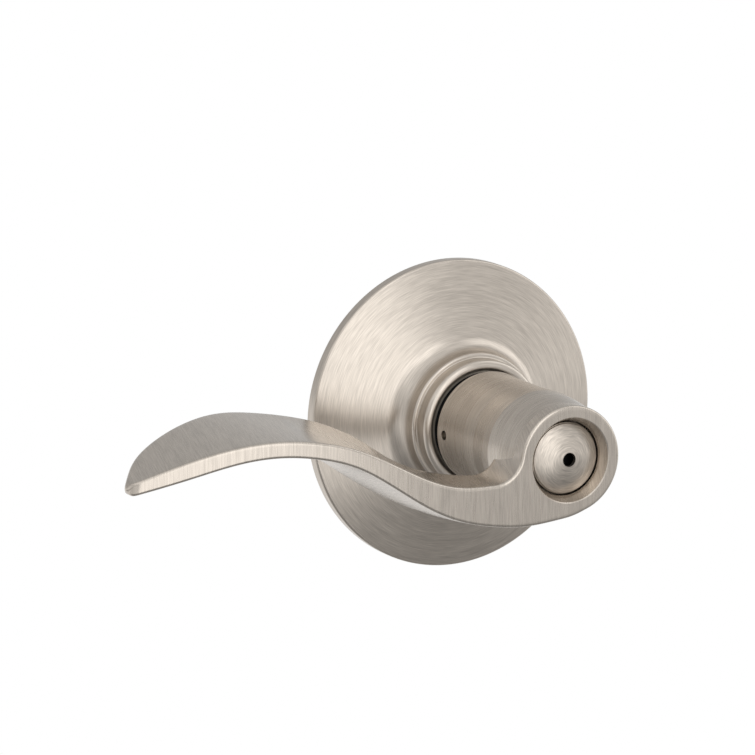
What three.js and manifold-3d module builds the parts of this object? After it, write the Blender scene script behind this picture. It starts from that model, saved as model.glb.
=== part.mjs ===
// Door lever handle: the outside trim of a privacy set for a 54 mm door bore.
// Millimetres, +Z up. The door's face is the plane y = 0, outdoors is -Y, the lever turns about Y.
import * as THREE from "three";
import { mergeVertices } from "three/addons/utils/BufferGeometryUtils.js";
import Module from "manifold-3d";

const wasm = await Module();
wasm.setup();

// ---- Clearances -------------------------------------------------------------------------------
const seatGap = 0.2; // between pieces that rest on each other
const slipGap = 0.3; // between a piece and the hole or rim that it drops into
const runGap = 0.15; // around what turns or slides

// ---- Driving sizes ----------------------------------------------------------------------------
const doorBore = 27; // radius of the hole in the door
const postSpacing = 38.1; // between the two mounting posts
const postReach = 17; // how far the posts go into the door
const spindleReach = 32; // how far the drive spindle goes into the door

const tubeRadius = 8.5; // spindle tube, which the neck and the lever fit round
const tubeWall = 1.2;
const tubeDepth = 20; // how far the tube reaches into the shank
const bushWall = 2.9;

const roseRadius = 32.5;
const roseSheet = 1;
const roseRim = 2.43; // straight part of the rim
const roseEdge = 0.6; // rounding between rim and face
const rimBevel = 0.25; // of the rim's rear edge
const roseCone = 0.297; // rise of the face for each millimetre inwards
const roseSweep = 6; // concave radius from the face to the neck
const lipRadius = tubeRadius + bushWall + slipGap; // opening for the shank
const lipWidth = 1.7;
const lipEdge = 0.5; // rounding outside the lip's crest
const lipDrop = 1.1; // from the crest down to the opening
const lipStep = 1; // of the lip above the collar
const lipHeight = 17; // crest of the lip above the door
const neckRadius = lipRadius + 2.9;
const neckShoulder = 0.85; // rounding on top of the neck
const collarRadius = lipRadius + 2; // second step of the neck

const handFront = 54; // front face of the lever above the door
const shankRear = lipHeight + 1.46; // rear end of the shank above the door
const shankRadius = lipRadius - 0.05;
const barrelRadius = shankRadius + 0.35; // swell in front of the shank
const headRadius = shankRadius - 0.5; // round end at the front
const frontRound = 0.6; // rounding of the front edges
const headDepth = 12.5; // depth of the head behind the front face
const rootFillet = 6.1; // between the arm's top and the head
const rootTop = -3.5; // height of the arm's top where it leaves the head
const armReach = 91.9; // from the axis to the tip
const armTipRadius = 2.6;
const armTipRound = 1.1;
const armSetback = 283; // the front face curves back towards the door on this radius
const backRound = 2.4; // most depth of the arm's rounded back edge
const swellHeight = 2.5; // of the arm's back above its front edge, near the head
const bellyDepth = 1.5; // of the arm's underside below its front edge

const recessRadius = headRadius - 2.45;
const recessDepth = 2.6;
const capRadius = recessRadius - 1.32;
const capRise = 2;
const capSheet = 0.9;
const capSkirt = 5.1;
const pocketShoulder = 0.9; // carries the cap's skirt
const releaseHole = 1.4;
const webThickness = 3; // between the tube's bore and the cap's pocket
const catchHole = 1; // in the side of the shank
const catchHead = 2;
const catchThickness = 1.1;
const catchSetback = 2.94; // from the shank's rear end to the hole's centre

const plateRadius = roseRadius - roseSheet - slipGap;
const plateThickness = 2.2;
const bossDepth = 8; // of the housing inside the door
const bossRadius = doorBore - 0.7;
const screwCircle = roseRadius - 8.3;
const screwRadius = 1;
const screwHead = 1.7;
const screwLength = 5;
const cageRadius = screwCircle - 3;
const cageFloor = 1.6;
const coverThickness = 1;
const sleeveWall = 1.5;
const bushFlange = 1.2;

const springWire = 0.9; // radius of the return spring's wire
const springRadius = (cageRadius + tubeRadius) / 2 - 0.25;
const springTurns = 2;
const legAngle = 13; // degrees each side of the top
const stopAngle = 9; // half width of the tab and of the fixed stop
const turnLimit = 50; // degrees each way
const camThickness = 1.6;
const camTabWidth = 1.6; // of the tab and of the stops, across the radius

const rodRadius = 1.3;
const rodHeadRadius = 4.6;
const rodHead = 1;
const coilRadius = 3.2; // of the release spring
const coilWire = 0.45;

const postRadius = 4;
const postBore = 1.9;
const postStub = 2.5;
const driveRadius = 4.4;
const driveBore = 2.2;

// ---- Materials --------------------------------------------------------------------------------
const finish = (color, roughness, metalness) =>
  new THREE.MeshStandardMaterial({ color, roughness, metalness });
const satinNickel = finish(0xb4aaa0, 0.32, 1);
const steel = finish(0xa8a8a6, 0.35, 1);
const springSteel = finish(0x77777a, 0.3, 1);
const castZinc = finish(0x8d8f90, 0.55, 1);
const nylon = finish(0x141414, 0.6, 0);

// ---- Shape tools ------------------------------------------------------------------------------
const TURN_STEPS = 36;
const WIDE_STEPS = 44; // round the widest pieces
const ARM_STEPS = 30; // along the arm
const rad = THREE.MathUtils.degToRad;
const deg = THREE.MathUtils.radToDeg;
const point = (x, y) => new THREE.Vector2(x, y);

/** A closed geometry as a manifold-3d solid. */
function solid(geometry) {
  const plain = geometry.clone();
  plain.deleteAttribute("normal");
  plain.deleteAttribute("uv");
  const merged = mergeVertices(plain, 1e-4);
  return new wasm.Manifold(
    new wasm.Mesh({
      numProp: 3,
      vertProperties: new Float32Array(merged.attributes.position.array),
      triVerts: new Uint32Array(merged.index.array),
    }),
  );
}

/** One geometry from closed ones: the first list joined, less the second. */
function carved(joined, removed = []) {
  const whole = joined.map(solid).reduce((a, b) => a.add(b));
  const mesh = removed.map(solid).reduce((a, b) => a.subtract(b), whole).getMesh();
  const geometry = new THREE.BufferGeometry();
  geometry.setAttribute("position", new THREE.BufferAttribute(mesh.vertProperties, 3));
  geometry.setIndex(new THREE.BufferAttribute(mesh.triVerts, 1));
  geometry.computeVertexNormals();
  return geometry;
}

/** Points of an arc, from one angle to another in degrees, ends included. */
function arc(cx, cy, radius, from, to, steps) {
  return Array.from({ length: steps + 1 }, (_, i) => {
    const a = rad(from + ((to - from) * i) / steps);
    return point(cx + radius * Math.cos(a), cy + radius * Math.sin(a));
  });
}

/** A solid of revolution about Y from its half section in (radius, y), given in either direction. */
function turned(section, steps = TURN_STEPS) {
  const points = section.map((p) => (p.isVector2 ? p : point(...p)));
  if (THREE.ShapeUtils.area(points) < 0) points.reverse();
  if (points[0].x > 0) points.push(points[0].clone());
  return new THREE.LatheGeometry(points, steps);
}

const ring = (inner, outer, low, high, steps) =>
  turned([[inner, low], [outer, low], [outer, high], [inner, high]], steps);
const disc = (radius, low, high, steps) =>
  turned([[0, low], [radius, low], [radius, high], [0, high]], steps);

/** A box between two corners. */
function block(low, high) {
  const size = high.map((v, i) => v - low[i]);
  return new THREE.BoxGeometry(...size).translate(...low.map((v, i) => v + size[i] / 2));
}

/** A round bar along X. */
const crossBar = (radius, low, high, y) =>
  new THREE.CylinderGeometry(radius, radius, high - low, 20)
    .rotateZ(Math.PI / 2)
    .translate((low + high) / 2, y, 0);

/** Part of a ring about Y between two angles in degrees, counted from +X towards +Z. */
function sector(inner, outer, low, high, from, to, steps = 6) {
  const shape = new THREE.Shape([...arc(0, 0, outer, from, to, steps), ...arc(0, 0, inner, to, from, steps)]);
  const bar = new THREE.ExtrudeGeometry(shape, { depth: high - low, bevelEnabled: false });
  return bar.rotateX(Math.PI / 2).translate(0, high, 0); // the outline's plane becomes XZ
}

/** Turns a geometry about Y, from +X towards +Z. */
const swung = (geometry, degrees) => geometry.rotateY(-rad(degrees));

/** Round wire through a row of points. */
function wire(points, radius, steps, sides = 6) {
  const section = new THREE.Shape(arc(0, 0, radius, 0, 360, sides).slice(0, sides));
  const path = new THREE.CatmullRomCurve3(points);
  return new THREE.ExtrudeGeometry(section, { steps, extrudePath: path, bevelEnabled: false });
}

/** Points of a helix about Y, counted from +X towards +Z. */
function helix(radius, fromY, toY, from, to, spacing) {
  const count = Math.round(Math.abs(to - from) / spacing);
  return Array.from({ length: count + 1 }, (_, i) => {
    const a = rad(from + ((to - from) * i) / count);
    const y = THREE.MathUtils.lerp(fromY, toY, i / count);
    return new THREE.Vector3(radius * Math.cos(a), y, radius * Math.sin(a));
  });
}

/**
 * A smooth size along the arm through [station, size] pairs. Stations run from 0 at the head's
 * side to 1 at the tip, and sizes are in head radii.
 */
function along(pairs) {
  const stations = pairs.map((p) => p[0]);
  const sizes = pairs.map((p) => p[1] * headRadius);
  const spline = new THREE.CubicInterpolant(stations, sizes, 1);
  return (u) => spline.evaluate(stationAt(u))[0];
}
const armSpan = armReach - headRadius;
const stationAt = (u) => (u - headRadius) / armSpan;

const assembly = new THREE.Group();
function add(name, geometry, material) {
  const mesh = new THREE.Mesh(geometry, material);
  mesh.name = name;
  assembly.add(mesh);
}

// ---- Rose: a pressed cover with a trumpet neck and a rolled lip --------------------------------
function roseCover() {
  const pitch = Math.atan(roseCone);
  const faceOuter = roseRadius - roseEdge;
  const sweepX = neckRadius + roseSweep;
  const edgeY = -roseRim - roseEdge * Math.cos(pitch);
  const edgeX = faceOuter + roseEdge * Math.sin(pitch);
  const sweepY = edgeY - (edgeX - sweepX) * roseCone - roseSweep / Math.cos(pitch);
  const tilt = deg(pitch);
  const ledge = lipStep - lipHeight;
  const crestX = lipRadius + lipWidth - lipEdge;
  const lipFall = [1, 2, 3].map((i) => {
    const a = (i * Math.PI) / 6;
    return point(crestX - (crestX - lipRadius) * Math.sin(a), lipDrop * (1 - Math.cos(a)) - lipHeight);
  });
  const outside = [
    point(roseRadius - rimBevel, 0),
    point(roseRadius, -2 * rimBevel),
    ...arc(faceOuter, -roseRim, roseEdge, 0, tilt - 90, 2),
    ...arc(sweepX, sweepY, roseSweep, 90 + tilt, 180, 5),
    ...arc(neckRadius - neckShoulder, sweepY, neckShoulder, 0, -75, 2),
    point(collarRadius + 0.15, sweepY - neckShoulder),
    point(collarRadius, ledge + 0.3),
    point(collarRadius - 0.25, ledge),
    point(lipRadius + lipWidth, ledge),
    ...arc(crestX, lipEdge - lipHeight, lipEdge, 0, -90, 2),
    ...lipFall,
  ];
  const inside = [
    point(lipRadius, lipDrop + 0.3 - lipHeight),
    point(collarRadius - roseSheet * 0.8, ledge + 0.9),
    point(collarRadius - roseSheet * 0.8, sweepY - 0.1),
    ...arc(sweepX, sweepY, roseSweep + roseSheet, 180, 90 + tilt, 3),
    point(roseRadius - roseSheet - 0.3, -roseRim + roseSheet * 0.2),
    point(roseRadius - roseSheet, -roseRim + roseSheet * 0.6),
    point(roseRadius - roseSheet, 0),
  ];
  return turned([...outside, ...inside], WIDE_STEPS);
}
add("rose_cover", roseCover(), satinNickel);

// ---- Lever: a cast arm that flows out of a round head, on a bored shank ------------------------
const armTop = along([
  [0.0737, rootTop / headRadius],
  [0.122, -0.3157],
  [0.1715, -0.2825],
  [0.2458, -0.1166],
  [0.3325, 0.1973],
  [0.4316, 0.5426],
  [0.5307, 0.7354],
  [0.6297, 0.8027],
  [0.7288, 0.7489],
  [0.8526, 0.5381],
  [1, 0.1704],
]);
const underHead = -0.4; // share of the head's radius past the axis, where the underside starts
const armBottom = along([
  [stationAt(underHead * headRadius), -Math.sqrt(1 - underHead ** 2)],
  [-0.1443, -1.04],
  [-0.1084, -1.081],
  [-0.0229, -1.135],
  [0.0601, -1.09],
  [0.1467, -0.9596],
  [0.2334, -0.6996],
  [0.3325, -0.2422],
  [0.4316, 0.1973],
  [0.5307, 0.426],
  [0.6297, 0.5067],
  [0.7288, 0.4439],
  [0.8526, 0.2197],
  [1, -0.0538],
]);
const armFront = (u) => -handFront + Math.max(0, u - headRadius) ** 2 / (2 * armSetback);
const tipX = armReach - armTipRadius;
const tipTurn = Math.atan((tipX - headRadius) / armSetback);
const tipY = armFront(tipX + armTipRadius * Math.sin(tipTurn)) + armTipRadius * Math.cos(tipTurn);
const tipBack = rad(66.5); // where the tip's circle turns into the back edge
const tipEnd = tipX + armTipRadius * Math.sin(tipBack);
const tipDepth = tipY + armTipRadius * Math.cos(tipBack) + handFront;
const armDepth = along([
  [0, headDepth / headRadius],
  [0.0848, 1.238],
  [0.1591, 1.776],
  [0.2582, 2.457],
  [0.3697, 2.924],
  [0.4811, 3.193],
  [0.605, 3.283],
  [0.7288, 3.022],
  [0.8563, 2.556],
  [0.9331, 2.036],
  [stationAt(tipEnd), tipDepth / headRadius],
]);
const armBack = (u) => armDepth(u) - handFront;
const bell = (t, centre, before, after) => Math.exp(-(((t - centre) / (t < centre ? before : after)) ** 2));
const topSwell = (u) => swellHeight * bell(stationAt(u), 0.308, 0.081, 0.138);
const belly = (u) => bellyDepth * bell(stationAt(u), 0.258, 0.174, 0.223);

const TIP = 6; // stations round the tip
const CORNER = 2; // steps round a front edge
const ROWS = 3; // steps from front to back
const BACK = 5; // steps round the back edge

/** The stations along the arm and head, from the tip to the far side of the head. */
function leverStations() {
  const stations = [];
  const centreZ = rootTop + rootFillet;
  const centreU = Math.sqrt((headRadius + rootFillet) ** 2 - centreZ ** 2);
  const joinAngle = deg(Math.atan2(centreZ, centreU));
  const put = (u, top, normal) => stations.push({ u, top, normal });
  for (let i = 1; i <= TIP; i++) put(tipX + armTipRadius * Math.cos((i / (TIP + 1)) * (Math.PI / 2)));
  for (let i = 1; i < ARM_STEPS; i++) put(THREE.MathUtils.lerp(tipX, centreU, i / ARM_STEPS));
  for (const p of arc(-centreU, centreZ, rootFillet, -90, -joinAngle, 8)) {
    put(-p.x, p.y, [(-centreU - p.x) / rootFillet, (centreZ - p.y) / rootFillet]);
  }
  const step = 360 / TURN_STEPS;
  for (let a = Math.floor((179 - joinAngle) / step) * step; a > 0; a -= step) {
    const normal = [Math.cos(rad(a)), Math.sin(rad(a))];
    put(-headRadius * normal[0], headRadius * normal[1], normal);
  }
  return stations;
}

/** Unit normal, in (x, z), of a curve z(u) with u = -x, on its upper or lower side. */
function normalOf(curve, u, side) {
  const slope = (curve(u + 0.05) - curve(u - 0.05)) / 0.1;
  const length = Math.hypot(1, slope);
  return [(side * slope) / length, side / length];
}

/** One section of the lever: a ring of points round the arm at a station. */
function leverSection({ u, top, normal }) {
  const onHead = u < underHead * headRadius;
  const inTip = u > armReach - armTipRound;
  let high = top ?? armTop(u);
  let low = onHead ? -Math.sqrt(headRadius ** 2 - u ** 2) : armBottom(u);
  const highNormal = normal ?? normalOf(armTop, u, 1);
  const lowNormal = onHead ? [-u / headRadius, low / headRadius] : normalOf(armBottom, u + 0.1, -1);
  if (inTip) {
    const middle = (high + low) / 2;
    const share = Math.sqrt(1 - ((u - armReach + armTipRound) / armTipRound) ** 2);
    high = middle + (high - middle) * share;
    low = middle + (low - middle) * share;
  }
  const past = u - tipX;
  const tipSag = Math.sqrt(armTipRadius ** 2 - Math.max(0, past) ** 2);
  const front = past > armTipRadius * Math.sin(tipTurn) ? tipY - tipSag : armFront(u);
  let back = headDepth - handFront;
  if (past > armTipRadius * Math.sin(tipBack)) back = tipY + tipSag;
  else if (u > headRadius) back = armBack(u);
  const lift = topSwell(u) * (u > headRadius ? 1 : 0);
  const drop = belly(u) * (u > headRadius ? 1 : 0);
  const round = Math.min(frontRound, 0.45 * (back - front), 0.4 * (high - low));
  const half = (high + lift - low + drop) / 2;
  const backDepth = Math.min(backRound, 0.8 * half, 0.45 * (back - front));
  const points = [];
  const put = (z, y, shift = 0) => points.push([shift - u, y, z]);
  const corner = (edge, n, i) => {
    const a = (i / CORNER) * (Math.PI / 2);
    const inset = round * (1 - Math.sin(a));
    put(edge - inset * n[1], front + round * (1 - Math.cos(a)), -inset * n[0]);
  };
  for (let i = 0; i <= CORNER; i++) corner(high, highNormal, i);
  for (let i = 1; i <= ROWS; i++) {
    const s = i / ROWS;
    put(high + lift * s * s, THREE.MathUtils.lerp(front + round, back - backDepth, s));
  }
  for (let i = 1; i < BACK; i++) {
    const a = (i / BACK) * Math.PI;
    const middle = (high + lift + low - drop) / 2;
    put(middle + half * Math.cos(a), back - backDepth + backDepth * Math.sin(a));
  }
  for (let i = ROWS; i >= 1; i--) {
    const s = i / ROWS;
    put(low - drop * (1 - (1 - s) ** 2), THREE.MathUtils.lerp(front + round, back - backDepth, s));
  }
  for (let i = CORNER; i >= 0; i--) corner(low, lowNormal, i);
  return points;
}

/** Skins a row of sections that ends in a point at both ends. */
function skinned(sections, first, last) {
  const count = sections[0].length;
  const positions = [first, ...sections.flat(), last].flat();
  const index = [];
  const at = (i, j) => 1 + i * count + (j % count);
  const end = 1 + sections.length * count;
  for (let j = 0; j < count; j++) {
    index.push(0, at(0, j), at(0, j + 1), end, at(sections.length - 1, j + 1), at(sections.length - 1, j));
    for (let i = 0; i + 1 < sections.length; i++) {
      index.push(at(i, j), at(i + 1, j), at(i, j + 1), at(i + 1, j), at(i + 1, j + 1), at(i, j + 1));
    }
  }
  const geometry = new THREE.BufferGeometry();
  geometry.setAttribute("position", new THREE.Float32BufferAttribute(positions, 3));
  geometry.setIndex(index);
  return geometry;
}

const tubeFront = -shankRear - tubeDepth;
const pocketRear = tubeFront - seatGap - webThickness;
const capRear = -handFront + recessDepth + capSkirt;
const catchY = -shankRear - catchSetback;
// A height along the shank, from its rear end at 0 to the front face at 1.
const shankY = (share) => -THREE.MathUtils.lerp(shankRear, handFront, share);

function leverHandle() {
  const tipZ = (armTop(armReach) + armBottom(armReach)) / 2;
  const arm = skinned(
    leverStations().map(leverSection),
    [-armReach, tipY, tipZ],
    [headRadius, -handFront + headDepth / 2, 0],
  );
  const barrelEnd = 0.916; // inside the head
  const barrel = turned([
    [0, shankY(0)],
    [shankRadius - 0.1, shankY(0)],
    [shankRadius + 0.2, shankY(0.01)],
    [shankRadius, shankY(0.14)],
    [shankRadius, shankY(0.437)],
    [shankRadius + 0.1, shankY(0.494)],
    [barrelRadius - 0.1, shankY(0.564)],
    [barrelRadius, shankY(0.634)],
    [barrelRadius - 0.25, shankY(0.747)],
    [headRadius + 0.25, shankY(0.831)],
    [headRadius - 0.05, shankY(barrelEnd)],
    [0, shankY(barrelEnd)],
  ]);
  const bores = turned([
    [0, 0],
    [tubeRadius + slipGap, 0],
    [tubeRadius + slipGap, tubeFront - seatGap],
    [rodRadius + slipGap, tubeFront - seatGap],
    [rodRadius + slipGap, pocketRear],
    [capRadius - pocketShoulder, pocketRear],
    [capRadius - pocketShoulder, capRear + seatGap],
    [capRadius + slipGap, capRear + seatGap],
    [capRadius + slipGap, -handFront + recessDepth],
    [recessRadius, -handFront],
    [recessRadius + 0.4, -handFront - 1],
    [0, -handFront - 1],
  ]);
  return carved([arm, barrel], [bores, crossBar(catchHole, -2 * shankRadius, -tubeRadius / 2, catchY)]);
}
add("lever_handle", leverHandle(), satinNickel);

// ---- Cap: a domed disc with a skirt and the hole for the emergency pin --------------------------
function faceCap() {
  const domeRadius = (capRadius ** 2 + capRise ** 2) / (2 * capRise);
  const edge = -handFront + recessDepth;
  const centre = edge - capRise + domeRadius;
  const angleAt = (r, sphere) => -90 + deg(Math.asin(r / sphere));
  return turned([
    ...arc(0, centre, domeRadius, angleAt(releaseHole, domeRadius), angleAt(capRadius - 0.2, domeRadius), 5),
    point(capRadius, edge + 0.15),
    point(capRadius, capRear),
    point(capRadius - capSheet, capRear),
    point(capRadius - capSheet, edge + 0.6),
    ...arc(0, centre, domeRadius - capSheet, angleAt(capRadius - 1.6, domeRadius - capSheet),
      angleAt(releaseHole, domeRadius - capSheet), 3),
  ], 28);
}
add("face_cap", faceCap(), satinNickel);

// ---- Spindle tube: carries the lever and turns in the bush --------------------------------------
const tubeBore = tubeRadius - tubeWall;
const washerThickness = 0.6;
const washerRear = bossDepth + seatGap + washerThickness;
const clipThickness = 0.7;
const clipDepth = 0.6; // of the clip's groove in the tube
const clipRear = washerRear + seatGap + clipThickness;
const groove = ring(tubeRadius - clipDepth, tubeRadius + 1, clipRear - clipThickness - 0.1, clipRear + 0.1);
const window = crossBar(catchHole + slipGap, -2 * tubeRadius, -tubeRadius / 2, catchY);
add("spindle_tube", carved([ring(tubeBore, tubeRadius, tubeFront, clipRear + 1)], [groove, window]), steel);

// ---- Housing: plate against the door, boss in the bore, cage for the spring ---------------------
const screwAngles = [45, 135, 225, 315];
const cageBack = bossDepth - cageFloor;
const tabInner = springRadius + springWire + 1.9;
const tabOuter = tabInner + camTabWidth;
const postSides = { left: -1, right: 1 };
const postX = (side) => (side * postSpacing) / 2;

function housing() {
  const lug = (inner, from, to) =>
    sector(inner, cageRadius + 0.8, slipGap - plateThickness, cageBack + 0.4, from, to);
  const fixedStop = lug(tabOuter + runGap + seatGap, 90 - stopAngle, 90 + stopAngle);
  const limit = turnLimit + stopAngle + 1; // where the cam's tab would meet its end stops
  const endStops = [lug(tabInner, 90 + limit, 98 + limit), lug(tabInner, 82 - limit, 90 - limit)];
  const outside = carved(
    [disc(plateRadius, -plateThickness, 0, WIDE_STEPS), disc(bossRadius, -1, bossDepth, WIDE_STEPS)],
    [disc(cageRadius, -plateThickness - 1, cageBack), disc(tubeRadius + slipGap, 0, bossDepth + 1)],
  );
  const postHoles = Object.values(postSides).map((side) =>
    disc(postStub + slipGap, 0, bossDepth + 1, 24).translate(postX(side), 0, 0),
  );
  const screwHoles = screwAngles.map((angle) => {
    const hole = disc(screwRadius + runGap, -plateThickness - 1, screwLength - 1, 16);
    return swung(hole.translate(screwCircle, 0, 0), angle);
  });
  return carved([outside, fixedStop, ...endStops], [...postHoles, ...screwHoles]);
}
add("spring_housing", housing(), castZinc);

// ---- Cage cover: closes the spring cage, and its sleeve holds the bush ---------------------------
const coverRear = -plateThickness - seatGap;
const coverFront = coverRear - coverThickness;
const bushRadius = tubeRadius + bushWall;
const sleeveRadius = bushRadius - 0.1;
const sleeveBore = sleeveRadius - sleeveWall;
const bushFront = lipDrop + 0.3 - lipHeight;
const sleeveFront = bushFront + bushFlange + seatGap;

/** A countersunk screw along Y, flush with the cover, or the hole for it with some clearance. */
const screwShape = (clearance, bottom) =>
  turned([
    [0, coverFront],
    [screwHead + clearance, coverFront],
    [screwRadius + clearance, coverFront + 0.8],
    [screwRadius + clearance, bottom],
    [0, bottom],
  ], 16).translate(screwCircle, 0, 0);

function cageCover() {
  const plate = ring(sleeveBore, screwCircle + screwHead + 0.2, coverFront, coverRear);
  const sleeve = ring(sleeveBore, sleeveRadius, sleeveFront, coverRear);
  const holes = screwAngles.map((angle) => swung(screwShape(runGap, 0), angle));
  return carved([plate, sleeve], holes);
}
add("spring_cage_cover", cageCover(), steel);
screwAngles.forEach((angle, i) =>
  add("cage_screw_" + (i + 1), swung(screwShape(0, coverFront + screwLength), angle), steel),
);

const bushBore = tubeRadius + runGap;
add("neck_bush", turned([
  [bushBore, bushFront],
  [bushRadius, bushFront],
  [bushRadius, bushFront + bushFlange],
  [sleeveBore - runGap, bushFront + bushFlange],
  [sleeveBore - runGap, coverRear],
  [bushBore, coverRear],
]), nylon);

// ---- Drive cam and return spring: the cam's tab and the housing's stop stand between the legs ----
const camFront = -plateThickness + 0.1;
const camRear = camFront + camThickness;
const coilFront = camRear + springWire + seatGap;
const coilRear = cageBack - springWire - 0.1;
const tabAngle = stopAngle - 1;
const camPlate = ring(tubeRadius + 0.1, springRadius - springWire - 0.3, camFront, camRear);
const camArm = sector(tubeRadius + 0.1, tabOuter, camFront, camRear, 90 - tabAngle, 90 + tabAngle);
const camTab = sector(tabInner, tabOuter, camFront, coilRear + 0.4, 90 - tabAngle, 90 + tabAngle);
add("drive_cam", carved([camPlate, camArm, camTab]), steel);

const legBend = 4; // degrees from a leg to where the coil starts
const coilSpacing = 18; // degrees between the points of a coil

function returnSpring() {
  const first = 90 + legAngle;
  const last = 90 - legAngle + 360 * springTurns;
  const legEnd = cageRadius - springWire - 0.2;
  const leg = (angle, y) =>
    [legEnd, (legEnd + springRadius) / 2, springRadius + 1.2].map(
      (r) => new THREE.Vector3(r * Math.cos(rad(angle)), y, r * Math.sin(rad(angle))),
    );
  const coil = helix(springRadius, coilFront, coilRear, first + legBend, last - legBend, coilSpacing);
  return wire([...leg(first, coilFront), ...coil, ...leg(last, coilRear).reverse()], springWire, 60);
}
add("return_spring", returnSpring(), springSteel);

// ---- Washer and clip: hold the tube in the housing from behind -----------------------------------
const clipWidth = 2.3;
const clipRadius = tubeRadius + clipWidth;
const washer = ring(tubeRadius + slipGap, clipRadius + 0.6, washerRear - washerThickness, washerRear);
add("thrust_washer", washer, steel);
add("retaining_clip", sector(tubeRadius - clipDepth + 0.1, clipRadius, clipRear - clipThickness, clipRear,
  -60, 240, 40), springSteel);

// ---- Mounting posts: take the through-bolts from the other side of the door ----------------------
for (const [side, sign] of Object.entries(postSides)) {
  const shoulder = bossDepth + seatGap;
  const post = turned([
    [0, cageBack + seatGap],
    [postStub, cageBack + seatGap],
    [postStub, shoulder],
    [postRadius, shoulder],
    [postRadius, postReach - 0.5],
    [postRadius - 0.5, postReach],
    [postBore, postReach],
    [postBore, shoulder + 2],
    [0, shoulder + 2],
  ], 18);
  add("mounting_post_" + side, post.translate(postX(sign), 0, 0), steel);
}

// ---- Guide and drive spindle: turn with the tube and work the latch ------------------------------
const guideFront = -10;
const guideRear = 2;
const spindleSeat = -4;
add("rod_guide", turned([
  [rodRadius + slipGap, guideFront],
  [tubeBore - runGap, guideFront],
  [tubeBore - runGap, guideRear],
  [driveRadius + 0.1, guideRear],
  [driveRadius + 0.1, spindleSeat],
  [rodRadius + slipGap, spindleSeat],
]), nylon);
const driveFlat = block([-driveRadius - 1, guideRear + 1, -driveRadius - 1],
  [driveRadius + 1, spindleReach + 1, -1.2]);
add("drive_spindle", carved(
  [ring(driveBore, driveRadius, spindleSeat + seatGap, spindleReach, 32)], [driveFlat]), steel);

// ---- Release rod: pushed by a pin through the cap, sprung back against the web -------------------
const rodFront = -handFront + recessDepth + 1.1;
add("release_rod", turned([
  [0, rodFront],
  [rodHeadRadius - 0.2, rodFront],
  [rodHeadRadius, rodFront + 0.2],
  [rodHeadRadius, rodFront + rodHead],
  [rodRadius, rodFront + rodHead],
  [rodRadius, spindleReach - 2.5],
  [rodRadius - 0.5, spindleReach - 2],
  [0, spindleReach - 2],
], 16), steel);
const releaseTurns = 4;
const coilEnds = [rodFront + rodHead + coilWire + seatGap, pocketRear - coilWire - seatGap];
const releaseCoil = helix(coilRadius, ...coilEnds, 0, 360 * releaseTurns, 30);
add("release_spring", wire(releaseCoil, coilWire, 44, 5), springSteel);

// ---- Catch: a nub in the side of the shank, held out by a ring spring ----------------------------
const catchBase = 0.5 - tubeBore;
add("lever_catch", carved([
  crossBar(catchHead, catchBase, catchBase + catchThickness, catchY),
  crossBar(catchHole - 0.2, -shankRadius + 0.7, catchBase + 0.5, catchY),
]), steel);
const ringShift = 0.8;
const ringRadius = ringShift - catchBase - catchThickness - seatGap;
const ringOpening = 30; // degrees each side of the gap's middle
const ringSheet = 0.5;
const ringWidth = 3;
const catchRing = sector(ringRadius - ringSheet, ringRadius, catchY - ringWidth / 2, catchY + ringWidth / 2,
  ringOpening, 360 - ringOpening, 30);
add("catch_spring", catchRing.translate(ringShift, 0, 0), springSteel);

export default assembly;
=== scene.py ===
import itertools
import math

import bmesh
import bpy
import numpy as np
from mathutils import Matrix, Vector


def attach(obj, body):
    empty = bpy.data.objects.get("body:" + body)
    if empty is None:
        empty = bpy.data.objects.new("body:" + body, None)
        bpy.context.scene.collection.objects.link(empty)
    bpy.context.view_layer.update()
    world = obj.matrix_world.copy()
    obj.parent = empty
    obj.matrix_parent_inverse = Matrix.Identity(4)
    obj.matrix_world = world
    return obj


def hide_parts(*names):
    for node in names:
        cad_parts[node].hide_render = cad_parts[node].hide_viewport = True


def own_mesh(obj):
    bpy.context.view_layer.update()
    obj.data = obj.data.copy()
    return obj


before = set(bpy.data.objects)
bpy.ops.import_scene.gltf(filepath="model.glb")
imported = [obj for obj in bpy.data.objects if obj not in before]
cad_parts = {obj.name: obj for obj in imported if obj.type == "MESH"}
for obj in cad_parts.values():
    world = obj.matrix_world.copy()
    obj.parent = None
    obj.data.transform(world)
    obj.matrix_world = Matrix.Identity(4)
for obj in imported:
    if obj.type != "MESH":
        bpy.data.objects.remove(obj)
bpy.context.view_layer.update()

# ---- Housing -------------------------------------------------------------------------
# The die-cast zinc body that the rest hangs on: a plate that lies on the door inside the
# rose, and a boss that drops into the door's bore. The cage for the return spring is
# open to the front, with a fixed stop at its top and an end stop each side of it.
MM = 0.001
plate_radius, plate_thickness = 31.2, 2.2
boss_radius, boss_depth = 26.3, 8.0
cage_radius, cage_back = 21.2, 6.4
seat_gap, slip_gap, run_gap = 0.2, 0.3, 0.15
tube_radius, tube_bore = 8.5, 7.3
post_apart, stub_radius = 38.1, 2.5
screw_circle, screw_radius, screw_angles = 24.2, 1.0, (45, 135, 225, 315)


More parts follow.
